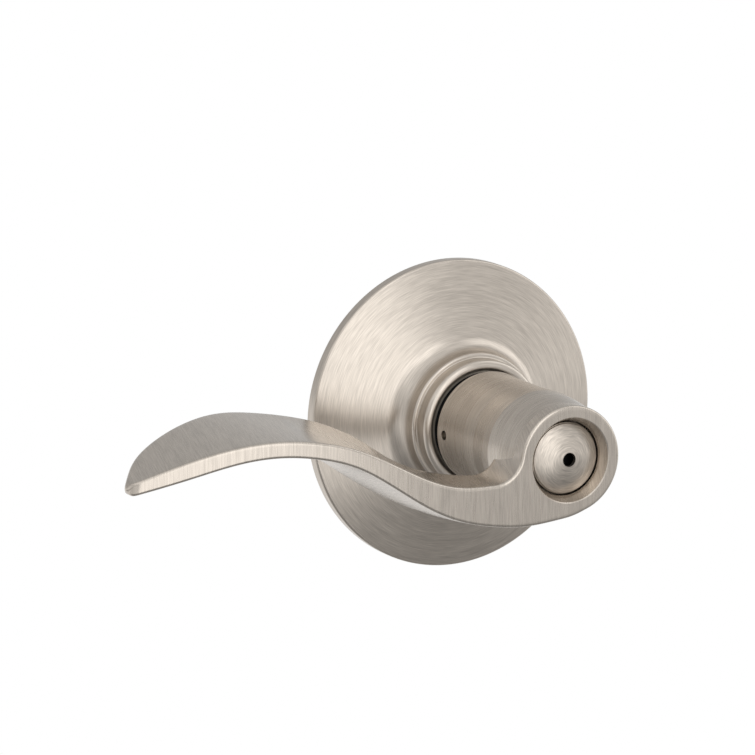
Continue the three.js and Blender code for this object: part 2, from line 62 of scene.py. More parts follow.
class Value:
    """A number that varies over a finish. Sums on it become Math nodes."""

    def __init__(self, finish, socket):
        self.finish, self.socket = finish, socket

    def sum(self, operation, *terms):
        return self.finish.node("Math", {"operation": operation}, dict(enumerate(terms)))

    def __add__(self, other):
        return self.sum("ADD", self, other)

    def __sub__(self, other):
        return self.sum("SUBTRACT", self, other)

    def __rsub__(self, other):
        return self.sum("SUBTRACT", other, self)

    def __mul__(self, other):
        return self.sum("MULTIPLY", self, other)

    def __truediv__(self, other):
        return self.sum("DIVIDE", self, other)

    def __pow__(self, other):
        return self.sum("POWER", self, other)

    __radd__, __rmul__ = __add__, __mul__

    def clipped(self, low, high):
        """0 below low, 1 above high, straight between."""
        return self.finish.node("MapRange", {}, {"Value": self, "From Min": low, "From Max": high})


class Finish:
    """A material: one shader, and the nodes that vary it over the surface, in millimetres."""

    def __init__(self, name, colour, roughness, metallic=1.0):
        self.material = bpy.data.materials.new(name)
        self.material.use_nodes = True
        self.nodes = self.material.node_tree.nodes
        self.shader = self.nodes["Principled BSDF"]
        self.colour, self.roughness = colour, roughness
        self.feed(self.shader.inputs["Base Color"], (*colour, 1.0))
        self.feed(self.shader.inputs["Roughness"], roughness)
        self.feed(self.shader.inputs["Metallic"], metallic)
        place = self.node("TexCoord", output="Object")
        split = self.node("SeparateXYZ", {}, {0: place}).socket.node
        self.x, self.y, self.z = (Value(self, out) / MM for out in split.outputs)
        self.radius = (self.x * self.x + self.z * self.z) ** 0.5

    def feed(self, socket, value):
        if isinstance(value, Value):
            self.material.node_tree.links.new(value.socket, socket)
        else:
            socket.default_value = value

    def node(self, kind, settings={}, sockets={}, output=0):
        """Any node: its settings first, then the values or links of its sockets."""
        made = self.nodes.new("ShaderNode" + kind)
        for name, value in settings.items():
            setattr(made, name, value)
        for name, value in sockets.items():
            self.feed(made.inputs[name], value)
        return Value(self, made.outputs[output])

    def noise(self, x, y, z, seed, detail=2.0):
        """Noise about 0.5 that changes once in each unit of x, y and z."""
        place = self.node("CombineXYZ", {}, {0: x, 1: y, 2: z})
        sockets = {"Vector": place, "Scale": 1.0, "Detail": detail, "W": seed}
        return self.node("TexNoise", {"noise_dimensions": "4D"}, sockets)

    def speckle(self, size, seed, detail=2.0):
        """Noise of one grain size, in millimetres, in all directions."""
        return self.noise(self.x / size, self.y / size, self.z / size, seed, detail)

    def bump(self, height, depth):
        """Relief: height from 0 to 1, depth in millimetres."""
        sockets = {"Height": height, "Distance": depth * MM, "Strength": 1.0}
        self.feed(self.shader.inputs["Normal"], self.node("Bump", {}, sockets))

    def tint(self, amount, contrast):
        """Base colour from darker to lighter by a share each way."""
        mixer = self.nodes.new("ShaderNodeMix")
        mixer.data_type = "RGBA"
        self.feed(mixer.inputs["Factor"], amount)
        for name, share in (("A", 1 - contrast), ("B", 1 + contrast)):
            mixer.inputs[name].default_value = (*(share * c for c in self.colour), 1.0)
        self.feed(self.shader.inputs["Base Color"], Value(self, mixer.outputs["Result"]))

    def gloss(self, amount, spread):
        """Roughness about its level, spread from end to end."""
        self.feed(self.shader.inputs["Roughness"], amount * spread + (self.roughness - spread / 2))


def arc(centre, radius, start, end, steps):
    """Points of an arc; angles in degrees."""
    angles = np.radians(np.linspace(start, end, steps + 1))
    return [(centre[0] + radius * math.cos(a), centre[1] + radius * math.sin(a)) for a in angles]


def guarded(outline, guard=0.05):
    """Adds points near the ends of long straights, so that rounded edges leave them flat."""
    made = []
    for p, q in zip(outline, [*outline[1:], outline[0]]):
        made.append(p)
        length = math.dist(p, q)
        if length > 6 * guard:
            for share in (guard / length, 0.5, 1 - guard / length):
                made.append((p[0] + (q[0] - p[0]) * share, p[1] + (q[1] - p[1]) * share))
    return made


def shell(name, points, faces, material, crease=32):
    """A closed mesh in millimetres as an object: faces out, smooth up to the crease angle."""
    mesh = bpy.data.meshes.new(name)
    mesh.from_pydata([tuple(p) for p in np.asarray(points) * MM], [], faces)
    mesh.materials.append(material)
    made = bpy.data.objects.new(name, mesh)
    bpy.context.scene.collection.objects.link(made)
    face_out(mesh, crease)
    return made


def face_out(mesh, crease):
    work = bmesh.new()
    work.from_mesh(mesh)
    bmesh.ops.remove_doubles(work, verts=work.verts, dist=1e-7)
    bmesh.ops.recalc_face_normals(work, faces=work.faces)
    work.to_mesh(mesh)
    work.free()
    mesh.shade_smooth()
    mesh.set_sharp_from_angle(angle=math.radians(crease))


def turned(name, outline, material, steps=120, crease=32, place=None):
    """An outline in (radius, y) turned about the Y axis, then put in its place."""
    outline = guarded(outline)
    count = len(outline)
    r, y = np.array(outline, float).T
    angle = np.arange(steps) * 2 * math.pi / steps
    x, z = np.outer(np.sin(angle), r), np.outer(np.cos(angle), r)
    points = np.stack([x, np.broadcast_to(y, x.shape), z], -1).reshape(-1, 3)
    faces = []
    for i in range(steps):
        a, b = i * count, (i + 1) % steps * count
        for j in range(count):
            k = (j + 1) % count
            corners = [a + j, b + j][: 1 if r[j] < 1e-9 else 2], [b + k, a + k][: 1 if r[k] < 1e-9 else 2]
            if len(corners[0]) + len(corners[1]) > 2:
                faces.append([*corners[0], *corners[1]])
    if place:
        points = [place @ Vector(p) for p in points]
    return shell(name, points, faces, material, crease)


def block_ring(name, inner, outer, low, high, start, end, material, steps=40):
    """Part of a ring about Y between two angles, counted in degrees from +X towards +Z."""
    points, faces = [], []
    for a in np.radians(np.linspace(start, end, steps + 1)):
        for r, y in ((inner, low), (outer, low), (outer, high), (inner, high)):
            points.append((r * math.cos(a), y, r * math.sin(a)))
    for i in range(steps):
        for j in range(4):
            a, b = 4 * i + j, 4 * i + (j + 1) % 4
            faces.append((a, a + 4, b + 4, b))
    faces += [(0, 1, 2, 3), tuple(4 * steps + j for j in (3, 2, 1, 0))]
    return shell(name, points, faces, material)


def rod(name, radius, low, high, material, place=None, steps=48):
    """A plain pin along Y, as a tool to cut with."""
    return turned(name, [(0, low), (radius, low), (radius, high), (0, high)], material, steps, place=place)


def combined(target, operation, *tools, crease=32):
    """Cuts each tool from the target, or joins it, and drops the tool."""
    for tool in tools:
        step = target.modifiers.new(operation, "BOOLEAN")
        step.object, step.operation, step.solver = tool, operation, "MANIFOLD"
        evaluated = target.evaluated_get(bpy.context.evaluated_depsgraph_get())
        made = bpy.data.meshes.new_from_object(evaluated)
        target.modifiers.remove(step)
        old, target.data = target.data, made
        bpy.data.meshes.remove(old)
        bpy.data.objects.remove(tool)
    target.data.name = target.name
    target.data.set_sharp_from_angle(angle=math.radians(crease))


zinc = Finish("zinc_as_cast", (0.36, 0.37, 0.37), 0.5)
flow = zinc.speckle(4.0, 1.0)
grain = zinc.speckle(0.35, 2.0)
zinc.tint(flow.clipped(0.3, 0.7), 0.14)
zinc.gloss(grain, 0.3)
zinc.bump(grain + flow * 1.5, 0.06)

housing = turned(
    "housing",
    [
        (tube_radius + slip_gap, cage_back + 0.3), (tube_radius + slip_gap, boss_depth - 0.3),
        (tube_radius + slip_gap + 0.3, boss_depth),
        *arc((boss_radius - 0.8, boss_depth - 0.8), 0.8, 90, 0, 6),
        *arc((boss_radius + 0.5, 0.5), 0.5, 180, 270, 4),
        (plate_radius, 0),
        *arc((plate_radius - 0.6, 0.6 - plate_thickness), 0.6, 0, -90, 5),
        (cage_radius + 0.2, -plate_thickness), (cage_radius, 0.2 - plate_thickness),
        (cage_radius, cage_back), (tube_radius + slip_gap + 0.3, cage_back),
    ],
    zinc.material,
    180,
)  # fmt: skip
tab_inner, tab_outer, stop_half, turn_limit = 17.4, 19.0, 9, 50
limit = turn_limit + stop_half + 1
stop_front, stop_rear = slip_gap - plate_thickness, cage_back + 0.4
for start, end, inner in (
    (90 - stop_half, 90 + stop_half, tab_outer + run_gap + seat_gap),
    (90 + limit, 98 + limit, tab_inner),
    (82 - limit, 90 - limit, tab_inner),
):
    stop = block_ring("stop", inner, cage_radius + 0.8, stop_front, stop_rear, start, end, zinc.material, 6)
    combined(housing, "UNION", stop)
for side in (-1, 1):
    across = Matrix.Translation((side * post_apart / 2, 0, 0))
    hole = rod("hole", stub_radius + slip_gap, 0, boss_depth + 1, zinc.material, across)
    combined(housing, "DIFFERENCE", hole)
for angle in screw_angles:
    around = Matrix.Rotation(math.radians(-angle), 4, "Y") @ Matrix.Translation((screw_circle, 0, 0))
    hole = rod("hole", screw_radius + run_gap, -plate_thickness - 1, 4, zinc.material, around, 24)
    combined(housing, "DIFFERENCE", hole)
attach(housing, "trim")
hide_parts("spring_housing")

# ---- Cam and return spring -----------------------------------------------------------
# A stamped steel cam is staked on the tube, and its tab stands between the two legs of a
# torsion spring of round wire, beside the fixed stop. Whichever way the lever turns, the
# tab takes one leg with it and the stop holds the other.
spring_radius, spring_wire, spring_turns = 14.6, 0.9, 2
coil_front = -plate_thickness + 0.1 + 1.6 + spring_wire + seat_gap
coil_rear = cage_back - spring_wire - 0.1
leg_angle, leg_bend = 13, 4
leg_end = cage_radius - spring_wire - 0.2


class Form:
    """A Geometry Nodes tree with named inputs, which ends in real faces and a material."""

    def __init__(self, name):
        self.tree = bpy.data.node_groups.new(name, "GeometryNodeTree")
        for side in ("INPUT", "OUTPUT"):
            self.tree.interface.new_socket("Geometry", in_out=side, socket_type="NodeSocketGeometry")
        self.inputs = self.tree.nodes.new("NodeGroupInput")
        self.output = self.tree.nodes.new("NodeGroupOutput")
        self.start = self.inputs.outputs["Geometry"]

    def size(self, name, kind="Float"):
        """A named input of the tree."""
        self.tree.interface.new_socket(name, in_out="INPUT", socket_type="NodeSocket" + kind)
        return self.inputs.outputs[name]

    def node(self, kind, settings={}, sockets={}, output=0):
        made = self.tree.nodes.new(kind)
        for name, value in settings.items():
            setattr(made, name, value)
        for name, value in sockets.items():
            if isinstance(value, bpy.types.NodeSocket):
                self.tree.links.new(value, made.inputs[name])
            else:
                made.inputs[name].default_value = value
        return made.outputs[output]

    def finish(self, shape):
        real = self.node("GeometryNodeRealizeInstances", {}, {0: shape})
        sockets = {"Geometry": real, "Material": self.size("Material", "Material")}
        self.tree.links.new(self.node("GeometryNodeSetMaterial", {}, sockets), self.output.inputs[0])

    def build(self, target, material, **sizes):
        """Runs the tree on an object's mesh and leaves the result as its plain mesh."""
        step = target.modifiers.new(self.tree.name, "NODES")
        step.node_group = self.tree
        for item in self.tree.interface.items_tree:
            if item.in_out == "INPUT" and item.name == "Material":
                step[item.identifier] = material
            elif item.in_out == "INPUT" and item.name in sizes:
                step[item.identifier] = sizes[item.name]
        evaluated = target.evaluated_get(bpy.context.evaluated_depsgraph_get())
        made = bpy.data.meshes.new_from_object(evaluated)
        target.modifiers.remove(step)
        target.data = made
        made.name = target.name
        face_out(made, 40)


wire_form = Form("wire_along_a_path")
ring = wire_form.node(
    "GeometryNodeCurvePrimitiveCircle",
    {},
    {"Resolution": wire_form.size("sides", "Int"), "Radius": wire_form.size("wire")},
)
route = wire_form.node("GeometryNodeMeshToCurve", {}, {"Mesh": wire_form.start})
sockets = {"Curve": route, "Profile Curve": ring, "Fill Caps": True}
wire_form.finish(wire_form.node("GeometryNodeCurveToMesh", {}, sockets))


def coil(radius, low, high, start, end, step=6):
    """Points of a helix about Y, counted in degrees from +X towards +Z."""
    count = round(abs(end - start) / step)
    turns = zip(np.radians(np.linspace(start, end, count + 1)), np.linspace(low, high, count + 1))
    return [(radius * math.cos(a), y, radius * math.sin(a)) for a, y in turns]


def bent_wire(name, route, radius, material, sides=16):
    """Round wire through a row of points."""
    mesh = bpy.data.meshes.new(name)
    steps = [(i, i + 1) for i in range(len(route) - 1)]
    mesh.from_pydata([tuple(MM * v for v in p) for p in route], steps, [])
    made = bpy.data.objects.new(name, mesh)
    bpy.context.scene.collection.objects.link(made)
    wire_form.build(made, material, wire=radius * MM, sides=sides)
    return made


def leg(angle, y):
    """The end of the wire: out along the tab's side, then bent into the coil."""
    a = math.radians(angle)
    return [(r * math.cos(a), y, r * math.sin(a)) for r in (leg_end, leg_end - 2.0, spring_radius + 2.0)]


spring_steel = Finish("spring_steel_oiled", (0.24, 0.24, 0.25), 0.32)
oil = spring_steel.speckle(1.6, 3.0)
drawn = spring_steel.speckle(0.12, 4.0)
spring_steel.tint(oil.clipped(0.3, 0.7), 0.2)
spring_steel.gloss(oil, 0.2)
spring_steel.bump(drawn, 0.012)

first, last = 90 + leg_angle, 90 - leg_angle + 360 * spring_turns
turns = coil(spring_radius, coil_front, coil_rear, first + leg_bend, last - leg_bend)
route = [*leg(first, coil_front), *turns, *reversed(leg(last, coil_rear))]
return_spring = bent_wire("return_spring_wire", route, spring_wire, spring_steel.material)
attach(return_spring, "trim")
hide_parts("return_spring")

plated = Finish("steel_zinc_plated", (0.5, 0.5, 0.49), 0.34)
film = plated.speckle(2.5, 5.0)
cut = plated.noise(plated.x * 0.1, (plated.radius + plated.y) * 5.0, plated.z * 0.1, 6.0, 1.0)
plated.tint(film.clipped(0.3, 0.7), 0.08)
plated.gloss(film, 0.16)
plated.bump(cut + film * 0.4, 0.03)
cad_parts["drive_cam"].data.materials.clear()
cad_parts["drive_cam"].data.materials.append(plated.material)

# ---- Cage cover and its screws -------------------------------------------------------
# A steel plate closes the spring cage, with a sleeve on it that reaches up inside the
# neck. Four countersunk cross-head screws hold it to the housing; each one has stopped at
# an angle of its own.
cover_rear = -plate_thickness - seat_gap
cover_front, cover_radius = cover_rear - 1.0, 26.1
sleeve_bore, sleeve_radius, sleeve_front = 9.8, 11.3, -14.2
screw_head, screw_length = 1.7, 5.0
slot_reach, slot_depth, slot_width = 1.0, 0.5, 0.4


def screw_outline(gap, bottom):
    return [
        (0, cover_front), (screw_head + gap, cover_front),
        (screw_radius + gap, cover_front + 0.8), (screw_radius + gap, bottom), (0, bottom),
    ]  # fmt: skip


cage_cover = turned(
    "cage_cover",
    [
        (sleeve_bore, cover_rear), (sleeve_bore, sleeve_front + 0.2), (sleeve_bore + 0.2, sleeve_front),
        (sleeve_radius - 0.2, sleeve_front), (sleeve_radius, sleeve_front + 0.2),
        *arc((sleeve_radius + 0.5, cover_front - 0.5), 0.5, 180, 90, 4),
        (cover_radius - 0.15, cover_front), (cover_radius, cover_front + 0.15), (cover_radius, cover_rear),
    ],
    plated.material,
)  # fmt: skip
for angle in screw_angles:
    around = Matrix.Rotation(math.radians(-angle), 4, "Y") @ Matrix.Translation((screw_circle, 0, 0))
    hole = turned("hole", screw_outline(run_gap, 0), plated.material, 32, place=around)
    combined(cage_cover, "DIFFERENCE", hole)
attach(cage_cover, "trim")
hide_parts("spring_cage_cover")

circle_form = Form("screws_on_a_circle")
ring = circle_form.node(
    "GeometryNodeMeshCircle",
    {},
    {"Vertices": circle_form.size("count", "Int"), "Radius": circle_form.size("radius")},
)
lean = circle_form.node("ShaderNodeCombineXYZ", {}, {0: math.pi / 2, 1: circle_form.size("first angle")})
ring = circle_form.node("GeometryNodeTransform", {}, {"Geometry": ring, "Rotation": lean})
chance = circle_form.node("FunctionNodeRandomValue", {"data_type": "FLOAT"}, {"Seed": 7}, output=1)
spin = circle_form.node("ShaderNodeMath", {"operation": "MULTIPLY"}, {0: chance, 1: math.pi / 2})
spin = circle_form.node("ShaderNodeCombineXYZ", {}, {1: spin})
sockets = {"Points": ring, "Instance": circle_form.start, "Rotation": spin}
circle_form.finish(circle_form.node("GeometryNodeInstanceOnPoints", {}, sockets))



def block(name, low, high, material, place=Matrix()):
    """A block between two corners, as a tool to cut with."""
    points = [place @ Vector(p) for p in itertools.product(*zip(low, high))]
    faces = [(0, 1, 3, 2), (4, 6, 7, 5), (0, 4, 5, 1), (2, 3, 7, 6), (0, 2, 6, 4), (1, 5, 7, 3)]
    return shell(name, points, faces, material)


screws = turned("cage_screws", screw_outline(0, cover_front + screw_length), plated.material, 32)
for turn in (0, 90):
    across = Matrix.Rotation(math.radians(turn), 4, "Y")
    low = (-slot_reach, cover_front - 1, -slot_width / 2)
    high = (slot_reach, cover_front + slot_depth, slot_width / 2)
    combined(screws, "DIFFERENCE", block("slot", low, high, plated.material, across))
first_angle = {"first angle": math.radians(screw_angles[0])}
circle_form.build(
    screws, plated.material, count=len(screw_angles), radius=screw_circle * MM, **first_angle
)  # fmt: skip
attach(screws, "trim")
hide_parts(*("cage_screw_%d" % (i + 1) for i in range(len(screw_angles))))

# ---- Neck bush -----------------------------------------------------------------------
# A moulded black nylon bush in the sleeve, where the spindle tube turns. Its flange covers
# the end of the sleeve, just behind the lip of the rose.
bush_bore, bush_radius = tube_radius + run_gap, 11.4
bush_front, bush_flange = -15.6, 1.2
nylon = Finish("nylon_black", (0.012, 0.012, 0.012), 0.5, 0.0)
pebble = nylon.speckle(0.25, 7.0)
nylon.tint(nylon.speckle(3.0, 8.0).clipped(0.3, 0.7), 0.3)
nylon.gloss(pebble, 0.2)
nylon.bump(pebble, 0.03)
bush = turned(
    "bush",
    [
        (bush_bore, bush_front + 0.2), (bush_bore + 0.2, bush_front),
        *arc((bush_radius - 0.3, bush_front + 0.3), 0.3, -90, 0, 4),
        (bush_radius, bush_front + bush_flange), (sleeve_bore - run_gap, bush_front + bush_flange),
        (sleeve_bore - run_gap, cover_rear), (bush_bore, cover_rear),
    ],
    nylon.material,
)  # fmt: skip
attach(bush, "trim")
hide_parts("neck_bush")

# ---- Rose ----------------------------------------------------------------------------
# The cover against the door: one sheet of brass, spun to a shallow cone with a trumpet
# neck and a lip rolled over towards the shank. It is brushed on the lathe, plated in satin
# nickel and pressed over the rim of the housing's plate.
rose_radius, rose_rim, rose_edge, rose_cone = 32.5, 2.43, 0.6, 0.297
rose_sheet, rose_sweep, rim_bevel = 1.0, 4.5, 0.25
neck_radius, neck_front, neck_shoulder, collar_radius = 14.6, -12.68, 0.6, 13.7
lip_outer, lip_crest, lip_inner = 13.7, 12.4, 11.0
lip_height, lip_step, lip_drop = 17.0, 1.0, 0.95
nickel = (0.53, 0.479, 0.423)


def brushed(finish, across, ends, fine=4.0, stroke=5.0, contrast=0.12, depth=0.005):
    """Satin brushing: hair lines, fine across and long along the stroke, with broader marks."""
    run, side = ends
    line = finish.noise(run / stroke, across * fine, side / stroke, 12.0, 1.0)
    wide = finish.noise(run / (3 * stroke), across * fine / 6, side / (3 * stroke), 13.0)
    finish.tint((line * 0.7 + wide * 0.3).clipped(0.34, 0.66), contrast)
    finish.gloss(wide, 0.1)
    finish.bump(line, depth)
    return finish.material


rose_finish = Finish("satin_nickel_rose", nickel, 0.3)
rose_brushed = brushed(
    rose_finish, rose_finish.radius + rose_finish.y, (rose_finish.x, rose_finish.z), 6.5, 3.5, 0.17
)

pitch = math.atan(rose_cone)
tilt = math.degrees(pitch)
face_outer = rose_radius - rose_edge
sweep_x = neck_radius + rose_sweep
edge_y = -rose_rim - rose_edge * math.cos(pitch)
edge_x = face_outer + rose_edge * math.sin(pitch)
sweep_y = edge_y - (edge_x - sweep_x) * rose_cone - rose_sweep / math.cos(pitch)
lip_roll = [
    (lip_crest + (lip_outer - lip_crest) * math.cos(a), -lip_height + lip_step * (1 - math.sin(a)))
    for a in np.radians(np.linspace(0, 90, 11))
]
lip_fall = [
    (lip_crest - (lip_crest - lip_inner) * math.sin(a), lip_drop * (1 - math.cos(a)) - lip_height)
    for a in np.radians(np.linspace(0, 80, 13)[1:])
]
rose = turned(
    "rose",
    [
        (rose_radius - rim_bevel, 0), (rose_radius, -2 * rim_bevel),
        *arc((face_outer, -rose_rim), rose_edge, 0, tilt - 90, 10),
        *arc((sweep_x, sweep_y), rose_sweep, 90 + tilt, 180, 28),
        *arc((neck_radius - neck_shoulder, neck_front), neck_shoulder, 0, -75, 12),
        (collar_radius + 0.15, neck_front - neck_shoulder),
        (collar_radius, neck_front - neck_shoulder - 0.15),
        *lip_roll, *lip_fall,
        (lip_inner, lip_drop + 0.2 - lip_height), (lip_crest - 0.4, lip_drop + 0.4 - lip_height),
        (collar_radius - 0.8, lip_step + 0.9 - lip_height), (collar_radius - 0.8, neck_front - 0.1),
        *arc((sweep_x, sweep_y), rose_sweep + rose_sheet, 180, 90 + tilt, 16),
        (rose_radius - rose_sheet - 0.3, 0.2 - rose_rim), (rose_radius - rose_sheet, 0.6 - rose_rim),
        (rose_radius - rose_sheet, 0),
    ],
    rose_brushed,
    240,
)  # fmt: skip
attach(rose, "trim")
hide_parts("rose_cover")

# ---- Spindle tube --------------------------------------------------------------------
# A drawn steel tube, zinc plated, that turns in the bush and carries the lever. It has a
# window for the catch near its front, and a groove behind the housing for the clip.
lip_gap = 1.46
shank_rear = -lip_height - lip_gap
tube_depth, tube_rear = 20.0, 10.7
tube_front = shank_rear - tube_depth
clip_front, clip_rear, clip_groove = 9.0, 9.7, 0.6
catch_y, catch_hole = shank_rear - 2.94, 1.0
sideways = Matrix.Translation((0, catch_y, 0)) @ Matrix.Rotation(math.pi / 2, 4, "Z")
tube = turned(
    "tube",
    [
        (tube_bore, tube_front + 0.2), (tube_bore + 0.2, tube_front), (tube_radius - 0.3, tube_front),
        (tube_radius, tube_front + 0.3), (tube_radius, clip_front - 0.1),
        (tube_radius - clip_groove, clip_front - 0.1), (tube_radius - clip_groove, clip_rear + 0.1),
        (tube_radius, clip_rear + 0.1), (tube_radius, tube_rear - 0.2), (tube_radius - 0.2, tube_rear),
        (tube_bore + 0.2, tube_rear), (tube_bore, tube_rear - 0.2),
    ],
    plated.material,
)  # fmt: skip
window = rod("window", catch_hole + slip_gap, tube_radius / 2, 2 * tube_radius, plated.material, sideways)
combined(tube, "DIFFERENCE", window)
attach(tube, "lever")
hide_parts("spindle_tube")

# ---- Guide and drive spindle ---------------------------------------------------------
# The half-round spindle that works the latch is a rolled steel bar with a bore for the
# release rod. A nylon guide centres both in the tube and turns with them.
guide_front, guide_rear, spindle_seat = -10.0, 2.0, -4.0
drive_radius, drive_bore, drive_reach, drive_flat = 4.4, 2.2, 32.0, -1.2
pin_radius = 1.3
guide = turned(
    "guide",
    [
        (pin_radius + slip_gap, guide_front + 0.2), (pin_radius + slip_gap + 0.2, guide_front),
        (tube_bore - run_gap - 0.4, guide_front), (tube_bore - run_gap, guide_front + 0.4),
        (tube_bore - run_gap, guide_rear - 0.2), (tube_bore - run_gap - 0.2, guide_rear),
        (drive_radius + 0.1, guide_rear), (drive_radius + 0.1, spindle_seat),
        (pin_radius + slip_gap, spindle_seat),
    ],
    nylon.material,
)  # fmt: skip
spindle = turned(
    "spindle",
    [
        (drive_bore, spindle_seat + seat_gap), (drive_radius, spindle_seat + seat_gap),
        (drive_radius, drive_reach - 0.6), (drive_radius - 0.6, drive_reach),
        (drive_bore + 0.2, drive_reach), (drive_bore, drive_reach - 0.2),
    ],
    plated.material,
)  # fmt: skip
low = (-drive_radius - 1, guide_rear + 1, -drive_radius - 1)
high = (drive_radius + 1, drive_reach + 1, drive_flat)
combined(spindle, "DIFFERENCE", block("flat", low, high, plated.material))
for piece, node, slot_name in ((guide, "rod_guide", "nylon"), (spindle, "drive_spindle", "steel")):
    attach(piece, "lever")
    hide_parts(node)

# ---- Release rod and spring ----------------------------------------------------------
# A headed steel pin runs from behind the cap to the end of the spindle. Pushed through the
# hole in the cap, it frees the lock, and a coil spring on it brings it back.
hand_front, recess_depth, web_thickness = 54.0, 2.6, 3.0
head_front, head_thickness, rod_head = -hand_front + recess_depth + 1.1, 1.0, 4.6
pocket_rear = tube_front - seat_gap - web_thickness
coil_radius, coil_wire, coil_turns, release_travel = 3.2, 0.45, 4, 4.0
blackened = Finish("steel_blackened", (0.02, 0.02, 0.02), 0.45)
soot = blackened.speckle(1.2, 31.0)
blackened.tint(soot.clipped(0.3, 0.7), 0.3)
blackened.gloss(soot, 0.2)
blackened.bump(blackened.speckle(0.2, 32.0), 0.01)
release_rod = turned(
    "rod",
    [
        (0, head_front), (rod_head - 0.2, head_front), (rod_head, head_front + 0.2),
        (rod_head, head_front + head_thickness), (pin_radius, head_front + head_thickness),
        (pin_radius, drive_reach - 2.5), (pin_radius - 0.5, drive_reach - 2), (0, drive_reach - 2),
    ],
    blackened.material,
    64,
)  # fmt: skip
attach(release_rod, "release")
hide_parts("release_rod")

coil_start, coil_end = head_front + head_thickness + coil_wire + seat_gap, pocket_rear - coil_wire - seat_gap
turns = coil(coil_radius, coil_start, coil_end, 0, 360 * coil_turns)
release_spring = bent_wire("release_spring_wire", turns, coil_wire, spring_steel.material, 12)
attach(release_spring, "lever")
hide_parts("release_spring")
length = coil_end - coil_start + 2 * coil_wire
(coil_end + coil_wire) * MM
(length - release_travel) / length
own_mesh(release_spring)  # fmt: skip

# ---- Lever ---------------------------------------------------------------------------
# One zinc casting: a thin paddle that waves out of a round head, and a bored shank behind
# it. The arm is linished across its length and the shank round its axis, then plated in
# satin nickel, so arm and shank are two meshes. The catch holds the shank on the tube.
head_radius, head_depth, front_round = 11.15, 12.5, 0.6
root_fillet, root_top = 6.1, -3.5
arm_reach, arm_setback, back_round = 91.87, 283.0, 2.4
tip_radius, tip_round = 2.6, 1.1
under_head, swell_height, belly_depth = -4.46, 2.5, 1.5
recess_radius, cap_radius, cap_skirt, pocket_shoulder = 8.7, 7.38, 5.1, 0.9


def curve(*knots):
    """A curve through (distance, height) knots, smooth to its curvature."""
    u, h = np.array(knots, float).T
    step = np.diff(u)
    slope = np.diff(h) / step
    count = len(u)
    system, right = np.eye(count), np.zeros(count)
    for i in range(1, count - 1):
        system[i, i - 1 : i + 2] = step[i - 1], 2 * (step[i - 1] + step[i]), step[i]
        right[i] = 6 * (slope[i] - slope[i - 1])
    bend = np.linalg.solve(system, right)

    def height(at):
        i = int(np.clip(np.searchsorted(u, at) - 1, 0, count - 2))
        a, b = u[i + 1] - at, at - u[i]
        cubes = (bend[i] * a**3 + bend[i + 1] * b**3) / (6 * step[i])
        line = (h[i] / step[i] - bend[i] * step[i] / 6) * a
        return cubes + line + (h[i + 1] / step[i] - bend[i + 1] * step[i] / 6) * b

    return height


arm_top = curve(
    (17.1, root_top), (21, -3.52), (25, -3.15), (31, -1.3), (38, 2.2), (46, 6.05),
    (54, 8.2), (62, 8.95), (70, 8.35), (80, 6), (arm_reach, 1.9),
)  # fmt: skip
arm_bottom = curve(
    (under_head, -math.sqrt(head_radius**2 - under_head**2)), (-0.5, -11.6), (2.4, -12.05), (9.3, -12.65),
    (16, -12.15), (23, -10.7), (30, -7.8), (38, -2.7), (46, 2.2), (54, 4.75), (62, 5.65), (70, 4.95),
    (80, 2.45), (arm_reach, -0.6),
)  # fmt: skip
tip_x = arm_reach - tip_radius
tip_turn = math.atan((tip_x - head_radius) / arm_setback)


def arm_front(u):
    return -hand_front + max(0.0, u - head_radius) ** 2 / (2 * arm_setback)


tip_y = arm_front(tip_x + tip_radius * math.sin(tip_turn)) + tip_radius * math.cos(tip_turn)
tip_back = math.radians(66.5)
arm_back = curve(
    (head_radius, head_depth - hand_front), (18, -40.2), (24, -34.2), (32, -26.6), (41, -21.4),
    (50, -18.4), (60, -17.4), (70, -20.3), (80.3, -25.5), (86.5, -31.3),
    (tip_x + tip_radius * math.sin(tip_back), tip_y + tip_radius * math.cos(tip_back)),
)  # fmt: skip


def bell(u, centre, before, after):
    return math.exp(-(((u - centre) / (before if u < centre else after)) ** 2))


def lever_stations():
    """Stations from the tip to the far side of the head: distance, top and its normal."""
    centre_z = root_top + root_fillet
    centre_u = math.sqrt((head_radius + root_fillet) ** 2 - centre_z**2)
    join = math.degrees(math.atan2(centre_z, centre_u))
    made = [(tip_x + tip_radius * math.cos(a), None, None) for a in np.radians(np.arange(3, 60, 3))]
    made += [(u, None, None) for u in np.arange(made[-1][0] - 0.4, centre_u + 0.2, -0.5)]
    for x, z in arc((-centre_u, centre_z), root_fillet, -90, -join, 30):
        made.append((-x, z, ((-centre_u - x) / root_fillet, (centre_z - z) / root_fillet)))
    for a in np.radians([*np.arange(int(178 - join), 0, -2.0), 1.0, 0.3]):
        normal = math.cos(a), math.sin(a)
        made.append((-head_radius * normal[0], head_radius * normal[1], normal))
    return made


def side_normal(height, u, side):
    slope = (height(u + 0.05) - height(u - 0.05)) / 0.1
    length = math.hypot(1, slope)
    return side * slope / length, side / length


def bezier(p0, p1, p2, p3, steps):
    """Points of a cubic curve without its first one."""
    t = np.linspace(0, 1, steps + 1)[1:, None]
    p0, p1, p2, p3 = map(np.array, (p0, p1, p2, p3))
    return (1 - t) ** 3 * p0 + 3 * t * (1 - t) ** 2 * p1 + 3 * t**2 * (1 - t) * p2 + t**3 * p3


